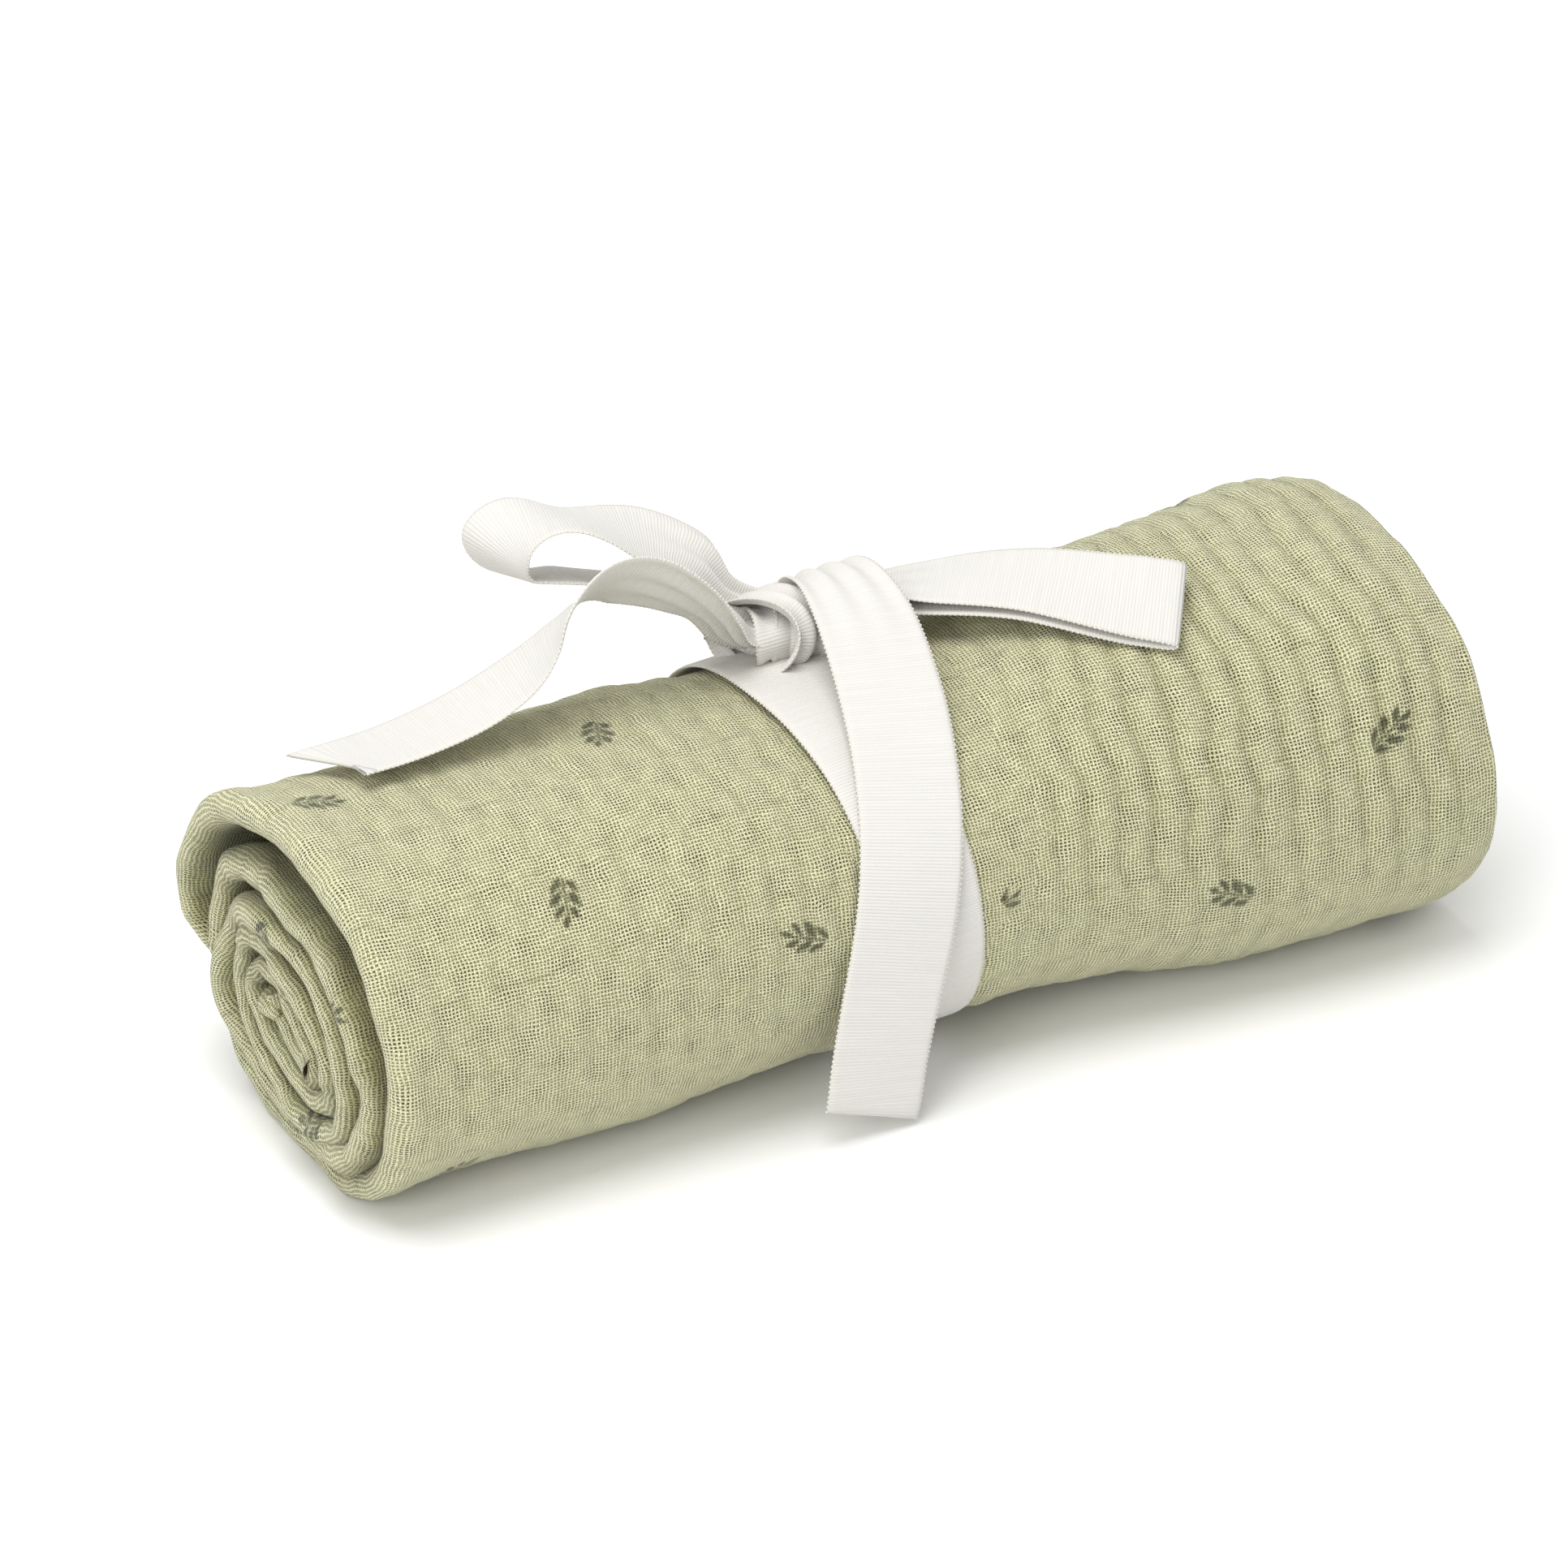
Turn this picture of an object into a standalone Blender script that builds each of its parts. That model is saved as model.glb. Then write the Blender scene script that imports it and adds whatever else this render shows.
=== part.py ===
"""Rolled muslin cloth: one square of double gauze folded in three, rolled up and tied round the middle
with a ribbon in a bow. X runs along the roll (the end with the open spiral at -X), Y to the back, Z up;
the roll rests on z = 0. Sizes in the tables are in millimetres."""

import math

import bpy
import numpy as np

MM = 0.001
ROUND = 56            # points round the roll
FLAT_DROP = 2.2       # how far the section is cut off below, which gives the flat resting spot
TURNS = 6.0           # turns of the spiral from the axis to the outside
RIBBON_WIDTH = 20.0
RIBBON_THICK = 1.0
GAP = 0.35            # clear space between two pieces

# The roll's outer form: a row per section along it.
SECTIONS = dict(
    columns=("x", "half_width", "height", "lift", "loose"),
    rows=(
        (-107, 40.2, 68.8, 0.0, 1.00),
        (-92, 40.4, 69.2, 0.0, 0.90),
        (-64, 40.4, 70.2, 0.0, 0.75),
        (-38, 39.6, 71.2, 2.2, 0.55),
        (-18, 38.0, 69.2, 3.0, 0.35),
        (2, 36.9, 68.2, 3.6, 0.30),
        (22, 38.0, 71.2, 4.4, 0.35),
        (42, 40.4, 74.8, 3.0, 0.50),
        (66, 42.8, 75.4, 0.0, 0.65),
        (86, 43.6, 76.6, 0.0, 0.75),
        (99, 44.2, 78.0, 0.0, 0.80),
    ),
)

# The outer turn's radius round the roll, as a share; 0 deg is the back, 90 deg the top, 180 deg the front.
# The cloth's loose edge lies along the back at about -10 deg.
OUTLINE = dict(
    columns=("angle", "share"),
    rows=(
        (-19, 0.87), (-11, 1.04), (5, 1.065), (40, 1.03), (90, 1.00), (150, 1.00), (185, 1.015),
        (235, 1.01), (270, 1.00), (305, 0.96), (328, 0.89), (341, 0.87),
    ),
)

# Where each ring of an end lies: its share of the outer section, how far it stands out along X, and how
# far where the turns press together (underneath at the spiral end, low on the front at the other).
SPIRAL_END = dict(
    columns=("share", "x", "x_pressed"),
    rows=(
        (0.985, -110.6, -110.6), (0.955, -113.0, -113.2), (0.925, -113.4, -113.6), (0.905, -111.4, -112.4),
        (0.893, -105.0, -111.6), (0.885, -101.0, -111.4), (0.862, -101.0, -111.4), (0.850, -107.5, -112.0),
        (0.838, -112.4, -113.4), (0.815, -114.2, -114.2),
    ),
)
ROUNDED_END = dict(
    columns=("share", "x", "x_pressed"),
    rows=(
        (0.985, 105.5, 108.0), (0.945, 110.4, 113.4), (0.88, 113.6, 116.2), (0.80, 115.2, 116.8),
        (0.70, 116.0, 117.0), (0.60, 116.3, 117.0),
    ),
)
# The middle of the rings, which sags towards the axis, and how much flatter the inner rings lie.
MIDDLE = dict(
    columns=("share", "z", "high"),
    rows=((0.0, -7.2, 0.55), (0.45, -6.4, 0.66), (0.862, -5.2, 0.80), (0.885, -0.6, 1.0), (1.0, 0.0, 1.0)),
)


def column(table, name):
    return np.array([row[table["columns"].index(name)] for row in table["rows"]], float)


def smooth(at, xs, ys):
    """Monotone cubic through the rows of a table, level at both ends."""
    step, rise = np.diff(xs), np.diff(ys)
    slope = rise / step
    tangent = np.zeros(len(xs))
    for i in range(1, len(xs) - 1):
        if slope[i - 1] * slope[i] > 0:
            w1, w2 = 2 * step[i] + step[i - 1], step[i] + 2 * step[i - 1]
            tangent[i] = (w1 + w2) / (w1 / slope[i - 1] + w2 / slope[i])
    i = np.clip(np.searchsorted(xs, at, side="right") - 1, 0, len(xs) - 2)
    t = np.clip((at - xs[i]) / step[i], 0, 1)
    return (
        ys[i] * (1 + 2 * t) * (1 - t) ** 2 + tangent[i] * step[i] * t * (1 - t) ** 2
        + ys[i + 1] * t * t * (3 - 2 * t) + tangent[i + 1] * step[i] * t * t * (t - 1)
    )


def section_value(name, x):
    return smooth(np.asarray(x, float), column(SECTIONS, "x"), column(SECTIONS, name))


def ring(x, share, angle):
    """Points (y, z) of the ring of this share of the outer section at x; angle in radians."""
    half, top = section_value("half_width", x), section_value("height", x)
    lift, loose = section_value("lift", x), section_value("loose", x)
    low = lift - FLAT_DROP
    tall, mid = (top - low) / 2, (top + low) / 2
    turned = (np.degrees(angle) + 19) % 360 - 19
    outline = smooth(turned, column(OUTLINE, "angle"), column(OUTLINE, "share"))
    radius = 1 + (outline - 1) * loose * np.clip((share - 0.4) / 0.6, 0, 1)
    square = (np.abs(np.cos(angle)) ** 2.2 + np.abs(np.sin(angle)) ** 2.2) ** (-1 / 2.2)
    sag, high = (smooth(np.asarray(share, float), column(MIDDLE, "share"), column(MIDDLE, c)) for c in ("z", "high"))
    y = share * radius * square * half * np.cos(angle)
    z = mid + sag + share * radius * square * high * tall * np.sin(angle)
    return y, np.maximum(z, lift)


def above(x, angle, lift):
    """Points this far off the roll's outer surface."""
    y, z = ring(x, 1.0, angle)
    y1, z1 = ring(x, 1.0, angle + 0.02)
    y0, z0 = ring(x, 1.0, angle - 0.02)
    size = np.hypot(y1 - y0, z1 - z0)
    return np.stack([x, y + lift * (z1 - z0) / size, z - lift * (y1 - y0) / size], axis=1)


def turns_relief(share, angle):
    """0 to 1 across each wound turn, highest in the middle of its folded edge."""
    return 0.5 + 0.5 * np.cos(2 * math.pi * TURNS * share + angle)


def new_material(name, colour, roughness):
    material = bpy.data.materials.new(name)
    material.use_nodes = True
    shader = material.node_tree.nodes["Principled BSDF"]
    shader.inputs["Base Color"].default_value = (*colour, 1.0)
    shader.inputs["Roughness"].default_value = roughness
    return material


def add_node(name, points, faces, material):
    """One closed mesh, its faces turned outward."""
    points = np.asarray(points, float)
    fans = [(face[0], face[i], face[i + 1]) for face in faces for i in range(1, len(face) - 1)]
    if np.linalg.det(points[np.array(fans)] - points.mean(0)).sum() < 0:
        faces = [tuple(reversed(face)) for face in faces]
    mesh = bpy.data.meshes.new(name)
    mesh.from_pydata((points * MM).tolist(), [], [tuple(face) for face in faces])
    mesh.materials.append(material)
    node = bpy.data.objects.new(name, mesh)
    bpy.context.scene.collection.objects.link(node)
    return node


def roll_solid(name, material):
    """The wound roll as one solid: rings from the spiral end's middle, along the outside, to the other end's."""
    angle = np.arange(ROUND) / ROUND * 2 * math.pi
    under = np.clip(-np.sin(angle - 0.35) * 1.5 - 0.15, 0, 1)
    rings = []
    for share in np.linspace(0.055, 0.79, 19):
        rings.append((-113.4 - 2.4 * turns_relief(share, angle), share))
    for share, x, x_pressed in reversed(SPIRAL_END["rows"]):
        rings.append((x + (x_pressed - x) * under, share))
    for x in np.concatenate([np.linspace(-107, -34, 9), np.linspace(-24, 28, 9), np.linspace(38, 99, 8)]):
        rings.append((np.full(ROUND, x), 1.0))
    low_front = np.clip(np.cos(angle - math.radians(215)), 0, 1)
    for share, x, x_pressed in ROUNDED_END["rows"]:
        rings.append((x + (x_pressed - x) * low_front, share))
    for share in np.linspace(0.53, 0.06, 10):
        rings.append((116.0 + 1.2 * turns_relief(share, -angle), share))
    points = []
    for x, share in rings:
        y, z = ring(np.clip(x, -107, 99), share, angle)
        points += np.stack([x, y, z], axis=1).tolist()
    for end in (-1, 1):
        y, z = ring(np.array([100.0 * end]), 0.0, np.array([0.0]))
        points.append([114.5 * end, float(y[0]), float(z[0])])
    first, last = len(points) - 2, len(points) - 1
    faces = []
    for i in range(len(rings) - 1):
        for j in range(ROUND):
            a, b = i * ROUND + j, i * ROUND + (j + 1) % ROUND
            faces.append((a, a + ROUND, b + ROUND, b))
    top = (len(rings) - 1) * ROUND
    for j in range(ROUND):
        faces.append((first, j, (j + 1) % ROUND))
        faces.append((last, top + (j + 1) % ROUND, top + j))
    return add_node(name, points, faces, material)


def through(rows, count):
    """A smooth path through the rows (Catmull-Rom), as count evenly spaced rows."""
    rows = np.array(rows, float)
    ends = np.concatenate([[2 * rows[0] - rows[1]], rows, [2 * rows[-1] - rows[-2]]])
    path = []
    for i in range(len(rows) - 1):
        p0, p1, p2, p3 = ends[i : i + 4]
        for t in np.linspace(0, 1, 24, endpoint=False):
            path.append(0.5 * (2 * p1 + (p2 - p0) * t + (2 * p0 - 5 * p1 + 4 * p2 - p3) * t * t
                               + (3 * p1 - p0 - 3 * p2 + p3) * t ** 3))
    path = np.array(path + [rows[-1]])
    run = np.concatenate([[0], np.cumsum(np.linalg.norm(np.diff(path[:, :3], axis=0), axis=1))])
    at = np.linspace(0, run[-1], count)
    return np.stack([np.interp(at, run, path[:, c]) for c in range(path.shape[1])], axis=1)


def strip(name, table, count, material, slant=0.0):
    """A ribbon strip whose table has a row per bend: where its middle is (x, y, z, or along the roll, round
    it and above it), its width, and which way the width points (heading in plan from +X, slope upwards)."""
    path = through(table["rows"], count)
    middle = path[:, :3]
    if table["columns"][1] == "angle":
        middle = above(path[:, 0], np.radians(path[:, 1]), path[:, 2])
    width, heading, slope = path[:, 3], np.radians(path[:, 4]), np.radians(path[:, 5])
    across = np.stack([np.cos(heading) * np.cos(slope), np.sin(heading) * np.cos(slope), np.sin(slope)], 1)
    along = np.gradient(middle, axis=0)
    along /= np.linalg.norm(along, axis=1)[:, None]
    across -= along * (across * along).sum(1)[:, None]
    across /= np.linalg.norm(across, axis=1)[:, None]
    side, face = across * (width / 2)[:, None], np.cross(across, along) * RIBBON_THICK / 2
    corners = [middle - side - face, middle + side - face, middle + side + face, middle - side + face]
    for corner, way in zip(corners, (-1, 1, 1, -1)):
        corner[-1] += along[-1] * slant * way
    faces = [(3, 2, 1, 0), tuple(4 * (count - 1) + k for k in range(4))]
    for i in range(count - 1):
        for k in range(4):
            a, b = 4 * i + k, 4 * i + (k + 1) % 4
            faces.append((a, b, b + 4, a + 4))
    return add_node(name, np.stack(corners, 1).reshape(-1, 3), faces, material)


def band(name, material, at_x, skew, count=56):
    """The ribbon's turn round the waist, a closed ring that follows the roll with a small gap."""
    angle = np.arange(count) / count * 2 * math.pi
    middle = at_x + skew * np.cos(angle - math.radians(225))
    edges = [above(middle + edge * RIBBON_WIDTH, angle, lift)
             for edge, lift in ((-0.5, GAP), (-0.5, GAP + RIBBON_THICK), (0.5, GAP + RIBBON_THICK), (0.5, GAP))]
    faces = []
    for i in range(count):
        for k in range(4):
            a, b, after = 4 * i + k, 4 * i + (k + 1) % 4, 4 * ((i + 1) % count)
            faces.append((a, after + k, after + (k + 1) % 4, b))
    return add_node(name, np.stack(edges, 1).reshape(-1, 3), faces, material)


def knot(name, material, x, angle, lift, half):
    """The knot: a rounded lump of tightly folded ribbon that sits on the band."""
    around, steps = 20, 12
    centre, out = above(np.array([x, x]), np.radians([angle, angle]), np.array([lift, lift + 1.0]))
    out = out - centre
    points, faces = [], []
    for i in range(steps + 1):
        polar = math.pi * i / steps
        for j in range(around if 0 < i < steps else 1):
            turn = 2 * math.pi * j / around
            unit = np.array([math.cos(polar), math.sin(polar) * math.cos(turn), math.sin(polar) * math.sin(turn)])
            lump = 1 + 0.07 * math.cos(3 * turn) * math.sin(polar) - 0.14 * math.cos(polar) ** 2
            u, v, w = unit * lump * np.array(half)
            points.append(centre + np.array([u, 0, 0]) + out * w + np.array([0, -out[2], out[1]]) * v)
    last = len(points) - 1
    for j in range(around):
        after = (j + 1) % around
        faces.append((0, 1 + j, 1 + after))
        faces.append((last, last - around + after, last - around + j))
        for i in range(steps - 2):
            a = 1 + i * around
            faces.append((a + j, a + around + j, a + around + after, a + after))
    return add_node(name, points, faces, material)


# How the ribbon's four free strands lie: a row per bend of each.
BENDS = ("x", "angle", "lift", "width", "heading", "slope")
LEFT_LOOP = dict(
    columns=("x", "y", "z", "width", "heading", "slope"),
    rows=(
        (-11.5, 23.5, 79.5, 12, 32, -8), (-16, 25.7, 86, 16.5, 32, -5), (-26, 29.5, 93, 20, 50, -7),
        (-38, 33, 97.6, 20, 66, -20), (-46.5, 36, 97.6, 20, 98, -12), (-51.5, 38, 92, 20, 114, -16),
        (-48.5, 37.5, 86.2, 20, 104, -18), (-39, 34, 85.4, 20, 84, -20), (-27, 30.5, 82, 18, 72, -20),
        (-18.5, 27, 77.5, 14, 66, -20), (-13.2, 25.5, 73.2, 10.5, 66, -24),
    ),
)
RIGHT_LOOP = dict(
    columns=BENDS,
    rows=(
        (9.6, 63, 9.6, 13, 66, -24), (17, 69, 9.8, 17, 62, -16), (27, 77, 8.4, 20, 58, -6),
        (39, 88, 6.6, 20, 54, 3), (52, 100, 5.0, 20, 50, 13), (62, 107.5, 3.9, 20, 47, 20),
        (64.6, 109.4, 2.9, 20, 47, 21), (62, 107.5, 1.9, 20, 47, 20), (52, 99.4, 1.8, 20, 50, 12),
        (39, 87.2, 2.2, 20, 54, 2), (26, 75.5, 3.2, 19, 58, -8), (12.4, 64.5, 4.6, 13, 66, -24),
    ),
)
LEFT_TAIL = dict(
    columns=("x", "y", "z", "width", "heading", "slope"),
    rows=(
        (-13.2, 14.8, 75.5, 10, 80, -36), (-18.5, 13.5, 82, 13, 72, -46), (-26.5, 12.5, 89.5, 16, 66, -54),
        (-35, 12.2, 94.8, 18.5, 66, -56), (-42, 12.2, 96.2, 20, 68, -52), (-48, 12.5, 92.5, 20, 72, -40),
        (-52, 13, 86.4, 20, 80, -26), (-58.5, 14, 80.2, 20, 88, -14), (-69, 15, 74.8, 20, 88, -11),
        (-82, 15.5, 71.8, 20, 87, -11), (-96, 16, 70.6, 20, 87, -12),
    ),
)
FRONT_TAIL = dict(
    columns=BENDS,
    rows=(
        (3.0, 62, 14.8, 13, 6, 0), (4.0, 72, 16.4, 16, 4, 0), (4.6, 88, 12.8, 19, 2, 0),
        (3.2, 108, 7.5, 20, 0, 0), (0.0, 130, 4.6, 20, -2, 0), (-4.0, 152, 3.6, 20, -4, 0),
        (-8.0, 174, 4.0, 20, -4, 0), (-11.5, 192, 6.0, 20, -2, 0), (-14.2, 205, 10.0, 20, 0, 0),
        (-16.2, 215.5, 16.0, 20, 2, 0),
    ),
)

for obj in list(bpy.data.objects):
    bpy.data.objects.remove(obj, do_unlink=True)

muslin = new_material("muslin_cloth", (0.60, 0.64, 0.44), 0.95)
ribbon = new_material("ivory_ribbon", (0.88, 0.86, 0.80), 0.75)

roll_solid("roll", muslin)
band("ribbon_band", ribbon, -3.5, 5.0)
knot("ribbon_knot", ribbon, -1.0, 64, 7.6, (10.5, 8.5, 5.4))
strip("ribbon_loop_left", LEFT_LOOP, 34, ribbon)
strip("ribbon_loop_right", RIGHT_LOOP, 34, ribbon)
strip("ribbon_tail_left", LEFT_TAIL, 26, ribbon, slant=5.0)
strip("ribbon_tail_front", FRONT_TAIL, 30, ribbon, slant=2.0)
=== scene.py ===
import math

import bpy
import numpy as np
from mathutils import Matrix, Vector
from mathutils.bvhtree import BVHTree


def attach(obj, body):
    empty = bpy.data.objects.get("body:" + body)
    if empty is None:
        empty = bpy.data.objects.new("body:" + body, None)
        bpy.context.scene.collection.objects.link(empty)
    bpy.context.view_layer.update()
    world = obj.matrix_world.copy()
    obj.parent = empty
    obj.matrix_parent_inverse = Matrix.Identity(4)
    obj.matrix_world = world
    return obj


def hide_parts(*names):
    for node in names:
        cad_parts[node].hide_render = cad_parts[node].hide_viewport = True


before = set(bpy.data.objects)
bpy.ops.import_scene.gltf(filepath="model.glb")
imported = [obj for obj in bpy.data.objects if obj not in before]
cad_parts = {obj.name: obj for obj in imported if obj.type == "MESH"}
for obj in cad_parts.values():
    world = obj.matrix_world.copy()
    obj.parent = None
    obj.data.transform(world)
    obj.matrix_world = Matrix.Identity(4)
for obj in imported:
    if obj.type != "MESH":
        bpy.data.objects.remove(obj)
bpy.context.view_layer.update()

# A muslin cloth, folded in three, rolled up and tied round the middle with a ribbon in a bow.

# ---------------------------------------------------------------------------------------------------
# THE MUSLIN SHEET
# One 70 cm square of double gauze. Both sides are folded over the middle third, so one end of the pack
# is a wide soft fold, and the pack is wound up loosely from its far edge. X runs along the roll.
# ---------------------------------------------------------------------------------------------------
MM = 0.001
PACK_LAYER = 1.75        # from one layer of the folded pack to the next
SHEET_THICK = 1.30       # double gauze, with the air it holds
FLAT_DROP = 2.2          # how far the section is cut off below, where the roll rests
LOOSE_EDGE_ANGLE = -11.0 # where the loose edge lies: 0 is the back, 90 the top, 180 the front
EDGE_TUCK = -0.034       # turns by which the loose edge reaches on, tucked in
EDGE_SINK = 0.075        # how far its tucked edge is pulled in, as a share of the radius
LAST_TURN = 5.22         # turns from the loose edge to the innermost edge
BAND_X, BAND_SWAY, BAND_PHASE = -3.5, 5.0, 225.0  # where the ribbon's band presses the roll's waist
OUTSIDE_COLUMNS = 296    # stations along the outer side, so that its furrows come out
OUTSIDE_ROWS = 146       # stations round the outer turn
MEAN_RADIUS = 41         # of the outer turn
WIDE_FOLD, SMALL_FOLD = 1.42, 1.15  # the two folds' bends, in layers of the pack
FURROW_STEP = 6.6        # from one furrow round the roll to the next

SECTIONS = dict(         # the roll's outer form
    columns=("x", "half_width", "height", "lift", "loose"),
    rows=(
        (-107, 40.2, 68.8, 0.0, 1.00), (-92, 40.4, 69.2, 0.0, 0.90), (-64, 40.4, 70.2, 0.0, 0.75),
        (-38, 39.6, 71.2, 2.2, 0.55), (-18, 38.0, 69.2, 3.0, 0.35), (2, 36.9, 68.2, 3.6, 0.30),
        (22, 38.0, 71.2, 4.4, 0.35), (42, 40.4, 74.8, 3.0, 0.50), (66, 42.8, 75.4, 0.0, 0.65),
        (86, 43.6, 76.6, 0.0, 0.75), (99, 44.2, 78.0, 0.0, 0.80),
    ),
)
OUTLINE = dict(          # the outer turn's radius round the roll, as a share
    columns=("angle", "share"),
    rows=(
        (-19, 0.87), (-11, 1.04), (5, 1.065), (40, 1.03), (90, 1.00), (150, 1.00), (185, 1.015),
        (235, 1.01), (270, 1.00), (305, 0.96), (328, 0.89), (341, 0.87),
    ),
)
INNER_TURNS = dict(      # each inner turn's width and height as shares of the outer turn's, how far it
    columns=("turn", "wide", "high", "far_wide", "far_high", "drop", "lean"),  # sags, and its lean
    rows=(
        (0.978, 0.872, 0.872, 0.872, 0.872, 0.0, 0), (1.03, 0.882, 0.850, 0.872, 0.865, -0.8, 0),
        (1.15, 0.878, 0.760, 0.868, 0.845, -3.0, 1), (1.28, 0.870, 0.705, 0.860, 0.820, -4.6, 3),
        (2.28, 0.710, 0.530, 0.720, 0.665, -5.6, 10), (3.28, 0.553, 0.355, 0.580, 0.510, -6.2, 16),
        (4.28, 0.396, 0.185, 0.440, 0.355, -6.8, 20), (5.22, 0.250, 0.040, 0.310, 0.210, -7.2, 22),
    ),
)
END_PLACE = dict(        # where each turn's folded edges stand along X
    columns=("turn", "spiral_end", "far_end"),
    rows=(
        (-0.034, -109.5, 114.5), (-0.012, -113.6, 114.5), (0.02, -116.6, 114.5),
        (0.08, -116.4, 114.4), (0.20, -114.8, 114.5), (0.30, -113.6, 114.8),
        (0.45, -112.2, 116.6), (0.63, -112.0, 118.0), (0.80, -112.6, 117.0), (0.95, -113.0, 115.4),
        (1.08, -114.0, 115.6), (1.28, -114.6, 116.4), (2.3, -115.2, 117.2), (3.3, -115.0, 117.8),
        (4.3, -114.6, 118.0), (5.22, -114.2, 118.0),
    ),
)


def column(table, name):
    return np.array([row[table["columns"].index(name)] for row in table["rows"]], float)


def smooth(at, xs, ys):
    """Monotone cubic through the rows of a table, level at both ends."""
    step, rise = np.diff(xs), np.diff(ys)
    slope = rise / step
    tangent = np.zeros(len(xs))
    for i in range(1, len(xs) - 1):
        if slope[i - 1] * slope[i] > 0:
            w1, w2 = 2 * step[i] + step[i - 1], step[i] + 2 * step[i - 1]
            tangent[i] = (w1 + w2) / (w1 / slope[i - 1] + w2 / slope[i])
    i = np.clip(np.searchsorted(xs, at, side="right") - 1, 0, len(xs) - 2)
    t = np.clip((at - xs[i]) / step[i], 0, 1)
    return (
        ys[i] * (1 + 2 * t) * (1 - t) ** 2 + tangent[i] * step[i] * t * (1 - t) ** 2
        + ys[i + 1] * t * t * (3 - 2 * t) + tangent[i + 1] * step[i] * t * t * (t - 1)
    )


def look_up(table, key, name, at):
    return smooth(np.asarray(at, float), column(table, key), column(table, name))


def ease(at, start, end):
    t = np.clip((at - start) / (end - start), 0, 1)
    return t * t * (3 - 2 * t)


def uneven(u, v, seed):
    """Soft random unevenness from -1 to 1 with one hump to each unit of u and of v."""
    lattice = np.random.default_rng(seed).uniform(-1, 1, (256, 256))
    u, v = np.broadcast_arrays(np.asarray(u, float), np.asarray(v, float))
    iu, iv = np.floor(u).astype(int), np.floor(v).astype(int)
    fu, fv = u - iu, v - iv
    fu, fv = fu * fu * (3 - 2 * fu), fv * fv * (3 - 2 * fv)
    corner = lambda i, j: lattice[(iu + i) % 256, (iv + j) % 256]
    return (corner(0, 0) * (1 - fu) * (1 - fv) + corner(1, 0) * fu * (1 - fv)
            + corner(0, 1) * (1 - fu) * fv + corner(1, 1) * fu * fv)


def skin(x, turn):
    """Points (y, z) in mm on the outside of the pack at this turn from the loose edge."""
    at = np.clip(x, SECTIONS["rows"][0][0], SECTIONS["rows"][-1][0])
    half, top, lift, loose = (look_up(SECTIONS, "x", c, at) for c in SECTIONS["columns"][1:])
    low = lift - FLAT_DROP
    tall, mid = (top - low) / 2, (top + low) / 2
    degrees = LOOSE_EDGE_ANGLE + 360 * turn
    angle = np.radians(degrees)
    around = np.where(turn < 0, LOOSE_EDGE_ANGLE, (degrees + 19) % 360 - 19)
    outer = 1 + (look_up(OUTLINE, "angle", "share", around) - 1) * loose
    outer = outer - EDGE_SINK * loose * (1 - ease(turn, EDGE_TUCK, 0.045))
    far, under = ease(x, -85, -45), ease(turn, 0.972, 1.02)
    wide, high, far_wide, far_high, drop, lean = (
        look_up(INNER_TURNS, "turn", c, turn) for c in INNER_TURNS["columns"][1:])
    corner = 96 + 8 * np.clip(np.cos(angle - math.radians(215)), 0, 1)
    rounding = 1 - 0.085 * np.clip((x - corner) / 18, 0, 2) ** 2.2
    square = rounding * (np.abs(np.cos(angle)) ** 2.2 + np.abs(np.sin(angle)) ** 2.2) ** (-1 / 2.2)
    wide = outer + ((1 - far) * wide + far * far_wide - outer) * under
    high = outer + ((1 - far) * high + far * far_high - outer) * under
    out, up = wide * square * half * np.cos(angle), high * square * tall * np.sin(angle)
    lean = np.radians(lean)
    y = out * np.cos(lean) - up * np.sin(lean)
    z = mid + drop + out * np.sin(lean) + up * np.cos(lean)
    return y, np.maximum(z, lift + 5.3 * ease(turn, 1.2, 1.5))


def wound(x, turn, depth):
    """Points in mm at this depth inside the pack's outer side."""
    y, z = skin(x, turn)
    y1, z1 = skin(x, turn + 0.004)
    y0, z0 = skin(x, turn - 0.004)
    size = np.maximum(np.hypot(y1 - y0, z1 - z0), 1e-6)
    return np.stack([x, y - depth * (z1 - z0) / size, z + depth * (y1 - y0) / size], axis=-1)


def furrows(x, run):
    """Height in mm of the soft puffs that run round the roll, and how deep in the furrows each point lies,
    the share of shade painted into them.
    """
    drift = (0.55 * uneven(run / 26, x / 45, 3) + 0.22 * uneven(run / 9, x / 20, 4)
             + 0.5 * uneven(x / 60, 0.5, 5))
    puff = np.abs(np.sin(math.pi * (x / FURROW_STEP + drift))) ** 0.62
    strong = 0.40 + 0.75 * ease(x, 5, 52) * (0.75 + 0.25 * uneven(x / 30, run / 40, 6))
    strong = strong * (1 - 0.62 * ease(run, 118, 165))
    strong = np.clip(strong + 0.22 * uneven(x / 14, run / 24, 7), 0.04, 1.3)
    slack = 0.62 * uneven(x / 24, run / 30, 8) + 0.34 * uneven(x / 9, run / 15, 9)
    pucker = 0.12 * uneven(x / 2.6, run / 3.1, 10)
    seam_x = np.abs((x / 13.0 + 0.1 * drift) % 1 - 0.5) * 13.0
    seam_v = np.abs((run / 20.0 + 0.08 * drift) % 1 - 0.5) * 20.0
    seam = -0.14 * np.exp(-(seam_x / 0.9) ** 2) - 0.16 * np.exp(-(seam_v / 0.9) ** 2)
    return 0.72 * strong * (puff - 0.7) + slack + pucker + seam, strong * (1 - puff)


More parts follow.
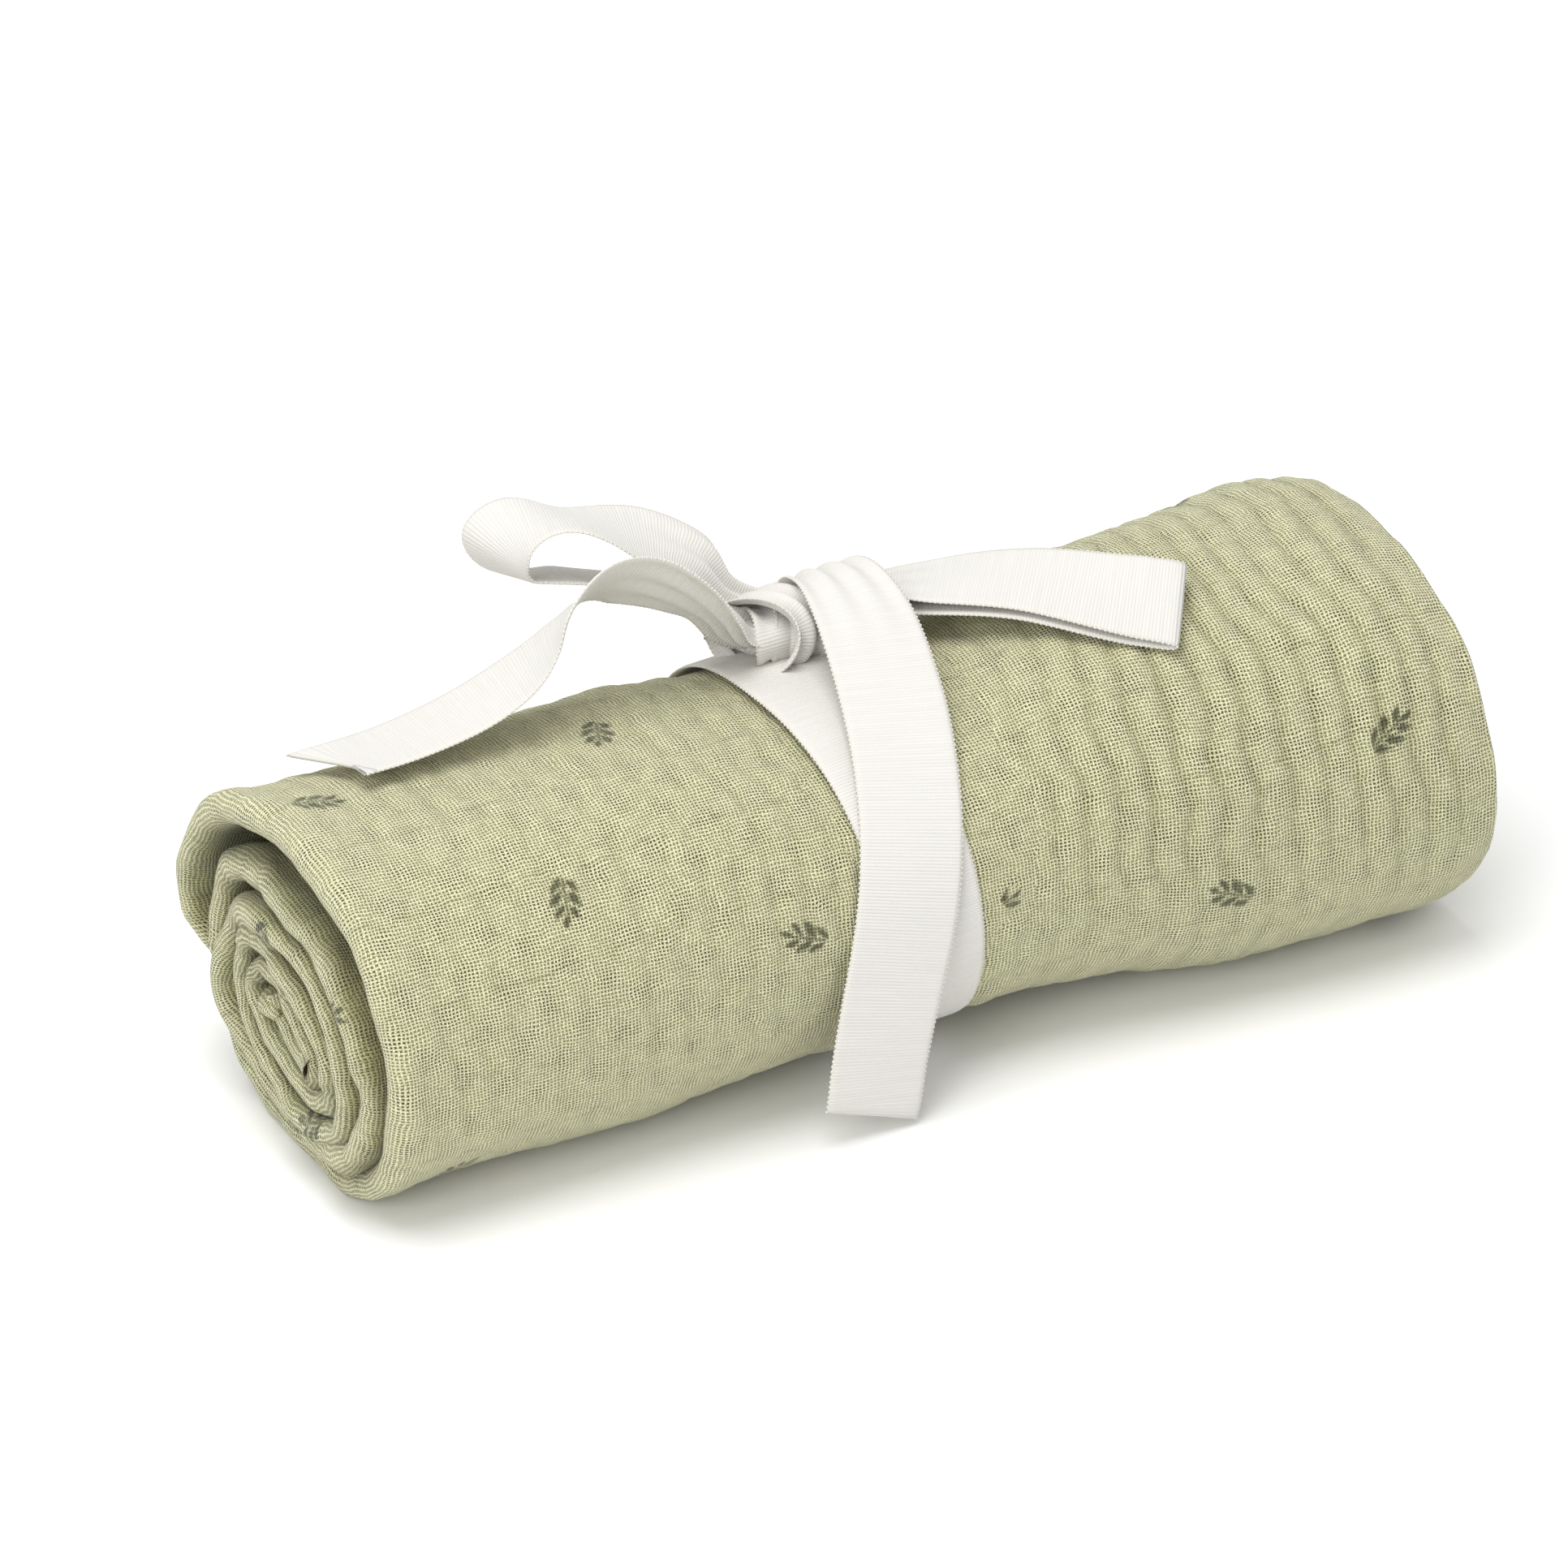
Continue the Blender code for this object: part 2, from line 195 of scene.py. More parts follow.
def pack_profile():
    """Stations along the folded sheet's width, as rows of (kind, value, layer, keep). The kind says which
    end the value is measured from, the layer how deep it lies, and keep if it stays where nothing shows."""
    rows = []
    for at in (2.6, 3.8, 6, 10, 18, 40, 80):
        rows.append(("from_far", at, 2, True))
    for at in (80, 40, 22, 14, 9, 6, 3.6, 1.8):
        rows.append(("from_spiral", at, 2, True))
    for i in range(13):
        rows.append(("wide_fold", i / 12, 0, True))
    near = (0, 2, 4, 7, 11, 16, 24, 40, 60, 90)
    keep = set(near) | {OUTSIDE_COLUMNS - 1 - i for i in near} | set(range(125, OUTSIDE_COLUMNS - 100, 40))
    for i in range(OUTSIDE_COLUMNS):
        rows.append(("outside", (i + 1) / (OUTSIDE_COLUMNS + 1), 0, i in keep))
    for i in range(7):
        rows.append(("small_fold", i / 6, 0, True))
    for at in (2, 4, 8, 16, 36, 80):
        rows.append(("from_far", at, 1, True))
    for at in (80, 36, 16, 8, 3, 0.5):
        rows.append(("from_spiral", at, 1, True))
    return rows


def sheet_mesh():
    rows = pack_profile()
    kinds = np.array([r[0] for r in rows])
    value = np.array([r[1] for r in rows])
    layer = np.array([r[2] for r in rows], float)
    keep = np.array([r[3] for r in rows])

    # Turns: fine over the outer turn, then a step for each 2.7 mm or 10 degrees, whichever is less.
    turns = list(np.concatenate([EDGE_TUCK + np.array([0, 0.0012, 0.003, 0.006]),
                                 np.linspace(EDGE_TUCK + 0.011, 1.03, OUTSIDE_ROWS)]))
    while turns[-1] < LAST_TURN:
        share = float(look_up(INNER_TURNS, "turn", "wide", turns[-1]))
        turns.append(turns[-1] + min(2.7 / (2 * math.pi * MEAN_RADIUS * max(share, 0.1)), 10 / 360))
    turns = np.array(turns)
    fine = turns <= 1.031
    n_rows, n_cols = len(turns), len(rows)

    y, z = skin(np.full(n_rows, 60.0), turns)
    steps = np.hypot(np.diff(y), np.diff(z))
    run = np.concatenate([[0], np.cumsum(steps)])
    nose = np.minimum(run, run[-1] - run) / 1.6
    taper = np.sqrt(np.clip(1 - (1 - np.clip(nose, 0, 1)) ** 2, 0.02, 1))
    run = run - np.interp(0, turns, run)

    left = look_up(END_PLACE, "turn", "spiral_end", turns)
    right = look_up(END_PLACE, "turn", "far_end", turns)
    inside = ease(turns, 0.95, 1.1)
    left = (left + (0.9 + 0.9 * inside) * uneven(run / 22, 0.3, 21)
            + (0.35 + 0.45 * inside) * uneven(run / 8, 0.7, 22))
    right = right + 0.8 * uneven(run / 26, 1.3, 23) + 0.3 * uneven(run / 8, 1.7, 24)

    T, L, R, W = (a[:, None] for a in (turns, left, right, run))
    open_end = (0.8 + 0.2 * taper[:, None]) * (1 - 0.9 * ease(T, LAST_TURN - 0.03, LAST_TURN))
    fat = WIDE_FOLD + 0.14 * ease(T, 1.0, 1.15) - 0.34 * ease(T, 1.95, 2.2)
    near = (fat + 0.18 * uneven(W / 13, 0.5, 25)) * PACK_LAYER * open_end
    small = SMALL_FOLD * PACK_LAYER * open_end
    base = PACK_LAYER * open_end
    half_sheet = SHEET_THICK / 2 * taper[:, None]
    fold_x, far_x = L + near + half_sheet, R - small / 2 - half_sheet

    x = np.zeros((n_rows, n_cols))
    offset = np.zeros_like(x)      # towards the outside, in mm, from the pack's middle layer
    way = np.zeros((n_rows, n_cols, 2))  # the outer side's direction, in (x, towards the outside)
    for j in range(n_cols):
        kind, at = kinds[j], value[j]
        if kind == "from_far":
            x[:, j:j + 1] = R - at - (0 if layer[j] == 2 else small / 2)
        elif kind == "from_spiral":
            x[:, j:j + 1] = fold_x + at + (0 if layer[j] == 2 else 1.5)
        elif kind == "outside":
            x[:, j:j + 1] = fold_x + (far_x - fold_x) * at
        elif kind == "wide_fold":
            x[:, j:j + 1] = fold_x - near * math.sin(math.pi * at)
        else:
            x[:, j:j + 1] = far_x + small / 2 * math.sin(math.pi * at)
    spread = (base + (near - base) * np.exp(-(np.maximum(x - fold_x, 0) / 7.0) ** 2)
              + (small - base) * np.exp(-(np.maximum(far_x - x, 0) / 7.0) ** 2))
    for j in range(n_cols):
        kind, at = kinds[j], value[j]
        if kind == "wide_fold":
            offset[:, j] = -near[:, 0] * math.cos(math.pi * at)
            way[:, j] = (-math.sin(math.pi * at), -math.cos(math.pi * at))
        elif kind == "small_fold":
            offset[:, j] = small[:, 0] * (0.5 + 0.5 * math.cos(math.pi * at))
            way[:, j] = (math.sin(math.pi * at), math.cos(math.pi * at))
        else:
            offset[:, j] = spread[:, j] * (1 - layer[j])
            way[:, j] = (0, 1 if layer[j] == 0 else -1)
    steps = np.hypot(np.diff(x, axis=1), np.diff(offset, axis=1))
    length = np.concatenate([np.zeros((n_rows, 1)), np.cumsum(steps, axis=1)], axis=1)
    middle_col = int(np.argmin(np.abs(x[0]) + 1e3 * (kinds != "outside")))
    across = length - length[:, middle_col:middle_col + 1] + x[:, middle_col:middle_col + 1]

    # Relief: furrows over the body, finer crumples over the folded edges.
    body = ease(x - fold_x, -2, 9) * ease(far_x - x, -2, 9)
    # The second value weights the shade painted into the furrows.
    ripple, crease_shade = furrows(x, W + 0 * x)
    ripple = ripple * (0.25 + 0.75 * body) * (T < 1.12)
    crumple = (0.62 * uneven(W / 7.5, across / 4.0, 31) + 0.28 * uneven(W / 5.0, across / 2.4, 32)
               + 0.7 * uneven(W / 15, across / 30, 33)) * (1 - body)
    # The band presses the waist flat under it, and the cloth swells a little on both sides.
    from_band = x - BAND_X - BAND_SWAY * np.cos(np.radians(LOOSE_EDGE_ANGLE + 360 * T - BAND_PHASE))
    pressed = np.exp(-(from_band / 11.5) ** 6) * (T < 1.05)
    swell = np.exp(-((np.abs(from_band) - 15.5) / 4.0) ** 2) * (T < 1.05)
    gather = np.cos(math.pi * W / 5.5 + 2 * uneven(W / 19, 0.2, 35))
    relief = ((ripple + crumple) * (1 - pressed) - 0.35 * pressed
              + swell * (0.5 + 0.28 * gather)) * taper[:, None]
    centre_depth = half_sheet + base
    sides = []
    for side in (1, -1):
        xs = x + way[:, :, 0] * half_sheet * side
        depth = centre_depth - offset - way[:, :, 1] * half_sheet * side - relief
        sides.append(wound(xs, T + 0 * x, depth))
    points = np.concatenate([s.reshape(-1, 3) for s in sides])
    points[:, 2] = np.maximum(points[:, 2], 0.05)
    weave = np.stack([np.tile(across.reshape(-1), 2), np.tile(np.repeat(run, n_cols), 2)], axis=1)

    kept = np.flatnonzero(keep)
    number = lambda side, i, j: side * n_rows * n_cols + i * n_cols + j
    faces = []

    def span(side, i, a, b):
        """The vertices of a row from column a to column b, all of them where the row shows."""
        return [number(side, i, j) for j in (range(a, b + 1) if side == 0 and fine[i] else (a, b))]

    for i in range(n_rows - 1):
        for side in (0, 1):
            for a, b in zip(kept[:-1], kept[1:]):
                one, two = span(side, i, a, b), span(side, i + 1, a, b)
                if len(one) == len(two):
                    new = [(one[k], one[k + 1], two[k + 1], two[k]) for k in range(len(one) - 1)]
                else:
                    new = [tuple(one + two[::-1])]
                faces += new if side == 0 else [tuple(reversed(f)) for f in new]
        for j in (0, n_cols - 1):
            f = (number(0, i, j), number(0, i + 1, j), number(1, i + 1, j), number(1, i, j))
            faces.append(f if j == 0 else tuple(reversed(f)))
    for i in (0, n_rows - 1):
        for a, b in zip(kept[:-1], kept[1:]):
            f = tuple(span(0, i, a, b)[::-1] + span(1, i, a, b))
            faces.append(f if i == 0 else tuple(reversed(f)))
    # Shade is painted into the cloth between neighbouring lips of the coil, where it lies in the shade of
    # its folds.
    lip_shade = np.zeros((n_rows, n_cols))
    for j in range(n_cols):
        if kinds[j] == "wide_fold":
            lip_shade[:, j] = abs(math.cos(math.pi * value[j])) ** 2
        elif kinds[j] == "from_spiral" and layer[j] == 2:
            lip_shade[:, j] = math.exp(-value[j] / 30)
    outside = (kinds == "outside") * np.exp(-np.maximum(x - fold_x, 0) / 14)
    lip_shade = (lip_shade + outside) * np.where(T < 1, value * (kinds == "wide_fold") < 0.5, 1)
    lip_shade[(turns < 1), :] *= kinds != "outside"
    # The mask of painted shade: darker in the furrows and between the lips of the coil.
    crease_shade = np.tile((crease_shade * body * (1 - pressed) * (T < 1.12) * 0.6 + 1.1 * lip_shade).reshape(-1), 2)
    return points, weave, np.clip(crease_shade, 0, 1), faces


def add_piece(name, points, faces, material, maps=()):
    """A mesh object from points in mm, unused points dropped, with named UV maps of one value a point."""
    points = np.asarray(points, float)
    used = np.zeros(len(points), bool)
    for face in faces:
        used[list(face)] = True
    new_index = np.cumsum(used) - 1
    mesh = bpy.data.meshes.new(name)
    faces = [tuple(int(new_index[v]) for v in face) for face in faces]
    mesh.from_pydata((points[used] * MM).tolist(), [], faces)
    for map_name, values in maps:
        layer = mesh.uv_layers.new(name=map_name)
        loops = np.zeros(len(mesh.loops), int)
        mesh.loops.foreach_get("vertex_index", loops)
        layer.data.foreach_set("uv", np.asarray(values, float)[used][loops].reshape(-1))
    mesh.polygons.foreach_set("use_smooth", np.ones(len(mesh.polygons), bool))
    mesh.materials.append(material)
    piece = bpy.data.objects.new(name, mesh)
    bpy.context.scene.collection.objects.link(piece)
    return piece


class Maker:
    """Adds shader nodes and joins them, so that a material reads as a recipe."""

    def __init__(self, name):
        self.material = bpy.data.materials.new(name)
        self.material.use_nodes = True
        self.tree = self.material.node_tree
        self.shader = self.tree.nodes["Principled BSDF"]

    def put(self, socket, value):
        if isinstance(value, bpy.types.NodeSocket):
            self.tree.links.new(value, socket)
        elif value is not None:
            socket.default_value = value

    def node(self, kind, inputs=(), **settings):
        made = self.tree.nodes.new(kind)
        for key, setting in settings.items():
            setattr(made, key, setting)
        for key, value in dict(inputs).items():
            self.put(made.inputs[key], value)
        return made

    def math(self, operation, a, b=None, c=None, clamp=False):
        made = self.node("ShaderNodeMath", operation=operation, use_clamp=clamp)
        for socket, value in zip(made.inputs, (a, b, c)):
            self.put(socket, value)
        return made.outputs[0]

    def mix(self, share, a, b, blend="MIX"):
        made = self.node("ShaderNodeMix", data_type="RGBA", blend_type=blend)
        self.put(made.inputs[0], share)
        self.put(made.inputs[6], a)
        self.put(made.inputs[7], b)
        return made.outputs[2]

    def noise(self, vector, scale, detail=2.0, rough=0.5):
        return self.node("ShaderNodeTexNoise", {"Vector": vector, "Scale": scale, "Detail": detail,
                                                "Roughness": rough}).outputs["Fac"]

    def uv(self, name):
        split = self.node("ShaderNodeSeparateXYZ")
        self.put(split.inputs[0], self.node("ShaderNodeUVMap", uv_map=name).outputs[0])
        return split.outputs[0], split.outputs[1]

    def join(self, x, y, z=0.0):
        made = self.node("ShaderNodeCombineXYZ")
        for socket, value in zip(made.inputs, (x, y, z)):
            self.put(socket, value)
        return made.outputs[0]

    def range(self, value, low, high, to_low=0.0, to_high=1.0):
        return self.node("ShaderNodeMapRange", {"Value": value, "From Min": low, "From Max": high,
                                                "To Min": to_low, "To Max": to_high}).outputs[0]


def srgb(r, g, b):
    """The linear colour of three values from 0 to 255."""
    shares = (c / 255 for c in (r, g, b))
    return tuple(((c + 0.055) / 1.055) ** 2.4 if c > 0.04 else c / 12.92 for c in shares) + (1.0,)


THREAD_PITCH = 0.72      # one thread to the next, in mm
YARN_PALE, YARN_DEEP = srgb(226, 223, 188), srgb(198, 195, 156)
# Painted shade in the gaps between the threads: softer where the second layer shows, deepest where it does
# not.
GAP_SHADE_SOFT, GAP_SHADE_DARK = srgb(140, 139, 100), srgb(64, 64, 34)
# The middle colour is shade painted into the furrows and between the lips of the coil.
STITCHED, CREASE_SHADE_COLOUR, INK = srgb(188, 186, 165), srgb(158, 157, 122), srgb(122, 125, 104)
BINDING_STEPS = (18.5, 9.2)  # between the rows of stitches along the roll and round it, in mm
SPRIG_LEAVES = dict(     # the printed leaves: each one's middle, its turn in degrees, and its half sizes
    columns=("along", "out", "turn", "long", "wide"),
    rows=(
        (-3.6, 1.9, 35, 2.5, 1.0), (-3.2, -1.9, -38, 2.3, 0.95), (-0.2, 2.3, 42, 2.8, 1.15),
        (0.3, -2.2, -40, 2.7, 1.1), (3.3, 2.0, 38, 2.4, 1.0), (3.6, -1.7, -32, 2.1, 0.9),
        (5.6, 0.5, 4, 1.7, 0.8),
    ),
)


def gauze_material():
    """Double gauze: pale crossing threads over gaps that show a second layer a little turned, its darkness
    there painted shade.
    """
    m = Maker("muslin_gauze")
    u, v = m.uv("weave")
    spot = m.join(u, v)
    bend_u, bend_v = m.noise(spot, 150.0, 2.0), m.noise(m.join(v, u, 3.1), 150.0, 2.0)
    shake_u, shake_v = m.noise(m.join(u, v, 1.7), 560.0, 1.0), m.noise(m.join(v, u, 5.3), 560.0, 1.0)
    loose = m.noise(spot, 420.0, 2.0)

    def weave(pitch, turn, sway):
        uu = m.math("MULTIPLY_ADD", v, turn, u)
        vv = m.math("MULTIPLY_ADD", u, -turn, v)
        uu = m.math("MULTIPLY_ADD", m.math("SUBTRACT", bend_u, 0.5), sway, uu)
        vv = m.math("MULTIPLY_ADD", m.math("SUBTRACT", bend_v, 0.5), sway, vv)
        uu = m.math("MULTIPLY_ADD", m.math("SUBTRACT", shake_u, 0.5), 0.0002, uu)
        vv = m.math("MULTIPLY_ADD", m.math("SUBTRACT", shake_v, 0.5), 0.0002, vv)
        a = m.math("SINE", m.math("MULTIPLY", uu, math.pi / pitch))
        b = m.math("SINE", m.math("MULTIPLY", vv, math.pi / pitch))
        over = m.math("MULTIPLY", a, b)
        warp = m.math("MULTIPLY_ADD", over, 0.26, m.math("ABSOLUTE", a))
        weft = m.math("MULTIPLY_ADD", over, -0.26, m.math("ABSOLUTE", b))
        return m.math("MAXIMUM", warp, weft)

    top = weave(THREAD_PITCH * MM, 0.0, 0.0016)
    under = weave(THREAD_PITCH * MM * 1.05, 0.07, 0.0022)
    threshold = m.math("MULTIPLY_ADD", m.math("SUBTRACT", loose, 0.5), 0.26, 0.835)
    thread = m.range(m.math("SUBTRACT", top, threshold), -0.09, 0.07)
    below = m.range(under, 0.62, 0.92)

    tone = m.noise(m.join(u, v, 9.0), 1600.0, 1.0)
    pale = m.mix(m.range(tone, 0.35, 0.65), YARN_DEEP, YARN_PALE)
    # The gaps are painted in shade, softer where a thread of the second layer lies behind.
    shaded_gap = m.mix(below, GAP_SHADE_DARK, GAP_SHADE_SOFT)
    cloth = m.mix(thread, shaded_gap, pale)
    slow = m.noise(spot, 38.0, 2.0)
    tint = m.mix(m.range(slow, 0.35, 0.65), srgb(255, 252, 245), srgb(248, 253, 245))
    cloth = m.mix(0.5, cloth, tint, "MULTIPLY")

    # Rows of binding stitches join the two layers of gauze at even steps.
    binding = None
    for a, b, step in ((v, u, BINDING_STEPS[0]), (u, v, BINDING_STEPS[1])):
        drift = m.math("MULTIPLY", m.math("SUBTRACT", m.noise(m.join(a, b, step), 70.0, 1.0), 0.5), 0.35)
        rows = m.math("ADD", m.math("MULTIPLY", a, 1 / (step * MM)), drift)
        off = m.math("ABSOLUTE", m.math("SUBTRACT", m.math("FRACT", rows), 0.5))
        line = m.range(m.math("MULTIPLY", off, step), 0.75, 0.2)
        binding = line if binding is None else m.math("MAXIMUM", binding, m.math("MULTIPLY", line, 0.55))
    binding = m.math("MULTIPLY", binding, m.range(m.noise(m.join(u, v, 4.2), 260.0, 1.0), 0.42, 0.62))
    cloth = m.mix(m.math("MULTIPLY", binding, 0.3), cloth, m.mix(1.0, cloth, STITCHED, "MULTIPLY"))
    # Shade painted into the furrows and between the lips of the coil, from the cloth's mask of painted
    # shade.
    painted_crease_shade, _ = m.uv("crease_shade")
    cloth = m.mix(m.math("MULTIPLY", painted_crease_shade, 0.78), cloth, m.mix(1.0, cloth, CREASE_SHADE_COLOUR, "MULTIPLY"))

    # The printed sprig: a stem with three pairs of leaves and one at its tip, each a pointed oval.
    p, q = m.uv("sprig")
    leaf_ragged = m.math("MULTIPLY", m.math("SUBTRACT", m.noise(spot, 520.0, 3.0, 0.7), 0.5), 2.6)
    ink = None
    for x0, y0, turn, long, wide in SPRIG_LEAVES["rows"]:
        c, s = math.cos(math.radians(turn)), math.sin(math.radians(turn))
        dx, dy = m.math("SUBTRACT", p, x0), m.math("SUBTRACT", q, y0)
        along = m.math("ADD", m.math("MULTIPLY", dx, c / long), m.math("MULTIPLY", dy, s / long))
        out = m.math("ADD", m.math("MULTIPLY", dx, -s / wide), m.math("MULTIPLY", dy, c / wide))
        reach = m.math("ADD", m.math("MULTIPLY", along, along), m.math("ABSOLUTE", out))
        leaf = m.range(m.math("ADD", reach, leaf_ragged), 1.5, 0.45)
        ink = leaf if ink is None else m.math("MAXIMUM", ink, leaf)
    stem = m.math("MULTIPLY", m.range(m.math("ABSOLUTE", q), 0.55, 0.25),
                  m.range(m.math("ABSOLUTE", p), 5.6, 5.0))
    ink = m.math("MAXIMUM", ink, m.math("MULTIPLY", stem, 0.7))
    faded = m.math("MULTIPLY_ADD", m.noise(m.join(u, v, 6.1), 480.0, 1.0), 0.9, 0.56)
    ink = m.math("MULTIPLY", ink, faded, clamp=True)
    cloth = m.mix(ink, cloth, m.mix(1.0, cloth, INK, "MULTIPLY"))
    m.put(m.shader.inputs["Base Color"], cloth)

    fibre = m.noise(m.join(u, v, 0.5), 5200.0, 2.0)
    height = m.math("MULTIPLY_ADD", fibre, 0.25, m.math("MULTIPLY_ADD", binding, -0.6, top))
    bump = m.node("ShaderNodeBump", {"Strength": 1.0, "Distance": 0.00024, "Height": height})
    m.put(m.shader.inputs["Normal"], bump.outputs[0])
    m.shader.inputs["Roughness"].default_value = 0.95
    m.shader.inputs["Specular IOR Level"].default_value = 0.15
    m.shader.inputs["Sheen Weight"].default_value = 0.25
    m.shader.inputs["Sheen Roughness"].default_value = 0.6
    return m.material


SPRIG_SIZE = 0.80
SPRIGS = dict(           # the printed sprigs: place along the roll and along the cloth, and turn in degrees
    columns=("x", "run", "turn"),
    rows=(
        (-103.6, 65.5, 15), (-71.5, 107.9, 100), (-26.6, 130.0, 200), (13.0, 136.6, 325),
        (60.9, 145.8, 200), (94.5, 121.7, 330), (-48, 70, 110), (44, 72, 20), (-95, 168, 300),
        (-50, 195, 30), (72, 205, 130),
        (5, 205, 80), (105, 180, 200), (-80, 22, 170), (-20, 22, 260), (22, 48, 40), (42, 15, 330),
        (88, 42, 100), (-118, 345, 40), (-119, 300, 120), (-118, 420, 10), (-119, 512, 200),
        (-118, 590, 80), (116, 330, 30), (117, 480, 140),
    ),
)

# The cloth's second UV map carries the mask of shade painted into its furrows and crevices.
points, weave, crease_shade, faces = sheet_mesh()
muslin = add_piece("muslin_cloth", points, faces, gauze_material(),
                   [("weave", weave * MM), ("crease_shade", np.stack([crease_shade, 0 * crease_shade], 1))])

# Each face of the cloth is told where it lies from its nearest sprig, so the print follows the cloth.
mesh = muslin.data
corners = np.zeros(len(mesh.loops) * 2)
mesh.uv_layers["weave"].data.foreach_get("uv", corners)
corners = corners.reshape(-1, 2) / MM
starts, counts = np.zeros(len(mesh.polygons), int), np.zeros(len(mesh.polygons), int)
mesh.polygons.foreach_get("loop_start", starts)
mesh.polygons.foreach_get("loop_total", counts)
centres = np.add.reduceat(corners, starts, axis=0) / counts[:, None]
sprigs = np.array(SPRIGS["rows"], float)
nearest = np.argmin(((centres[:, None, :] - sprigs[None, :, :2]) ** 2).sum(2), axis=1)
place = corners - sprigs[np.repeat(nearest, counts), :2]
turn = np.radians(sprigs[np.repeat(nearest, counts), 2])
local = np.stack([place[:, 0] * np.cos(turn) + place[:, 1] * np.sin(turn),
                  -place[:, 0] * np.sin(turn) + place[:, 1] * np.cos(turn)], axis=1) / SPRIG_SIZE
mesh.uv_layers.new(name="sprig").data.foreach_set("uv", np.clip(local, -60, 60).reshape(-1))

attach(muslin, "root")
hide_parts("roll")

# ---------------------------------------------------------------------------------------------------
# THE RIBBON ROUND THE WAIST
# One length of ivory cotton ribbon, 20 mm wide and finely ribbed across, makes the band, the knot and the
# bow. It goes once round the roll's waist, drawn tight enough to pinch it, and is tied on top.
# ---------------------------------------------------------------------------------------------------
RIBBON_THICK = 0.7
RIBBON_WIDTH = 20.0
RIB_STEP, CORD_STEP = 0.62, 0.5  # between the ribs across the ribbon, and between its warp cords
IVORY, IVORY_LIT = srgb(214, 212, 207), srgb(219, 217, 212)
# The first of these is shade painted between the ribs, the second the selvedge's own colour.
SHADE_BETWEEN_RIBS, SELVEDGE = srgb(198, 194, 185), srgb(214, 208, 195)
BAND_STATIONS = 180


def off_roll(x, angle, lift):
    """Points this far off the roll's outside, at an angle in degrees round it."""
    turn = ((np.asarray(angle, float) - LOOSE_EDGE_ANGLE) % 360) / 360
    return wound(np.asarray(x, float), np.minimum(turn, 0.972), -np.asarray(lift, float))


def ribbon_material():
    """Ivory cotton ribbon with fine ribs across it, shade painted between the ribs, and a close selvedge.
    """
    m = Maker("ribbon_cotton")
    u, v = m.uv("ribbon")
    rib = m.math("SINE", m.math("MULTIPLY", v, 2 * math.pi / (RIB_STEP * MM)))
    spot = m.join(u, v)
    cord_line = m.math("SINE", m.math("MULTIPLY", u, 2 * math.pi / (CORD_STEP * MM)))
    selvedge = m.range(m.math("ABSOLUTE", u), 0.0090, 0.0094)
    slub = m.noise(m.join(m.math("MULTIPLY", u, 60.0), m.math("MULTIPLY", v, 1600.0)), 1.0, 2.0)
    colour = m.mix(m.range(slub, 0.3, 0.7), IVORY, IVORY_LIT)
    # Shade painted into the grooves between the ribs.
    colour = m.mix(m.math("MULTIPLY", m.range(rib, 0.2, -1.0), 0.3), colour, SHADE_BETWEEN_RIBS)
    colour = m.mix(m.math("MULTIPLY", selvedge, 0.25), colour, SELVEDGE)
    m.put(m.shader.inputs["Base Color"], colour)
    height = m.math("MULTIPLY_ADD", cord_line, 0.18, rib)
    height = m.math("MULTIPLY_ADD", m.noise(spot, 3000.0, 2.0), 0.5, height)
    bump = m.node("ShaderNodeBump", {"Strength": 0.35, "Distance": 0.00012, "Height": height})
    m.put(m.shader.inputs["Normal"], bump.outputs[0])
    m.shader.inputs["Roughness"].default_value = 0.8
    m.shader.inputs["Specular IOR Level"].default_value = 0.25
    m.shader.inputs["Sheen Weight"].default_value = 0.15
    return m.material


ribbon_cotton = ribbon_material()
ribbon_edges = []        # the two edge lines of every strand, for the picots


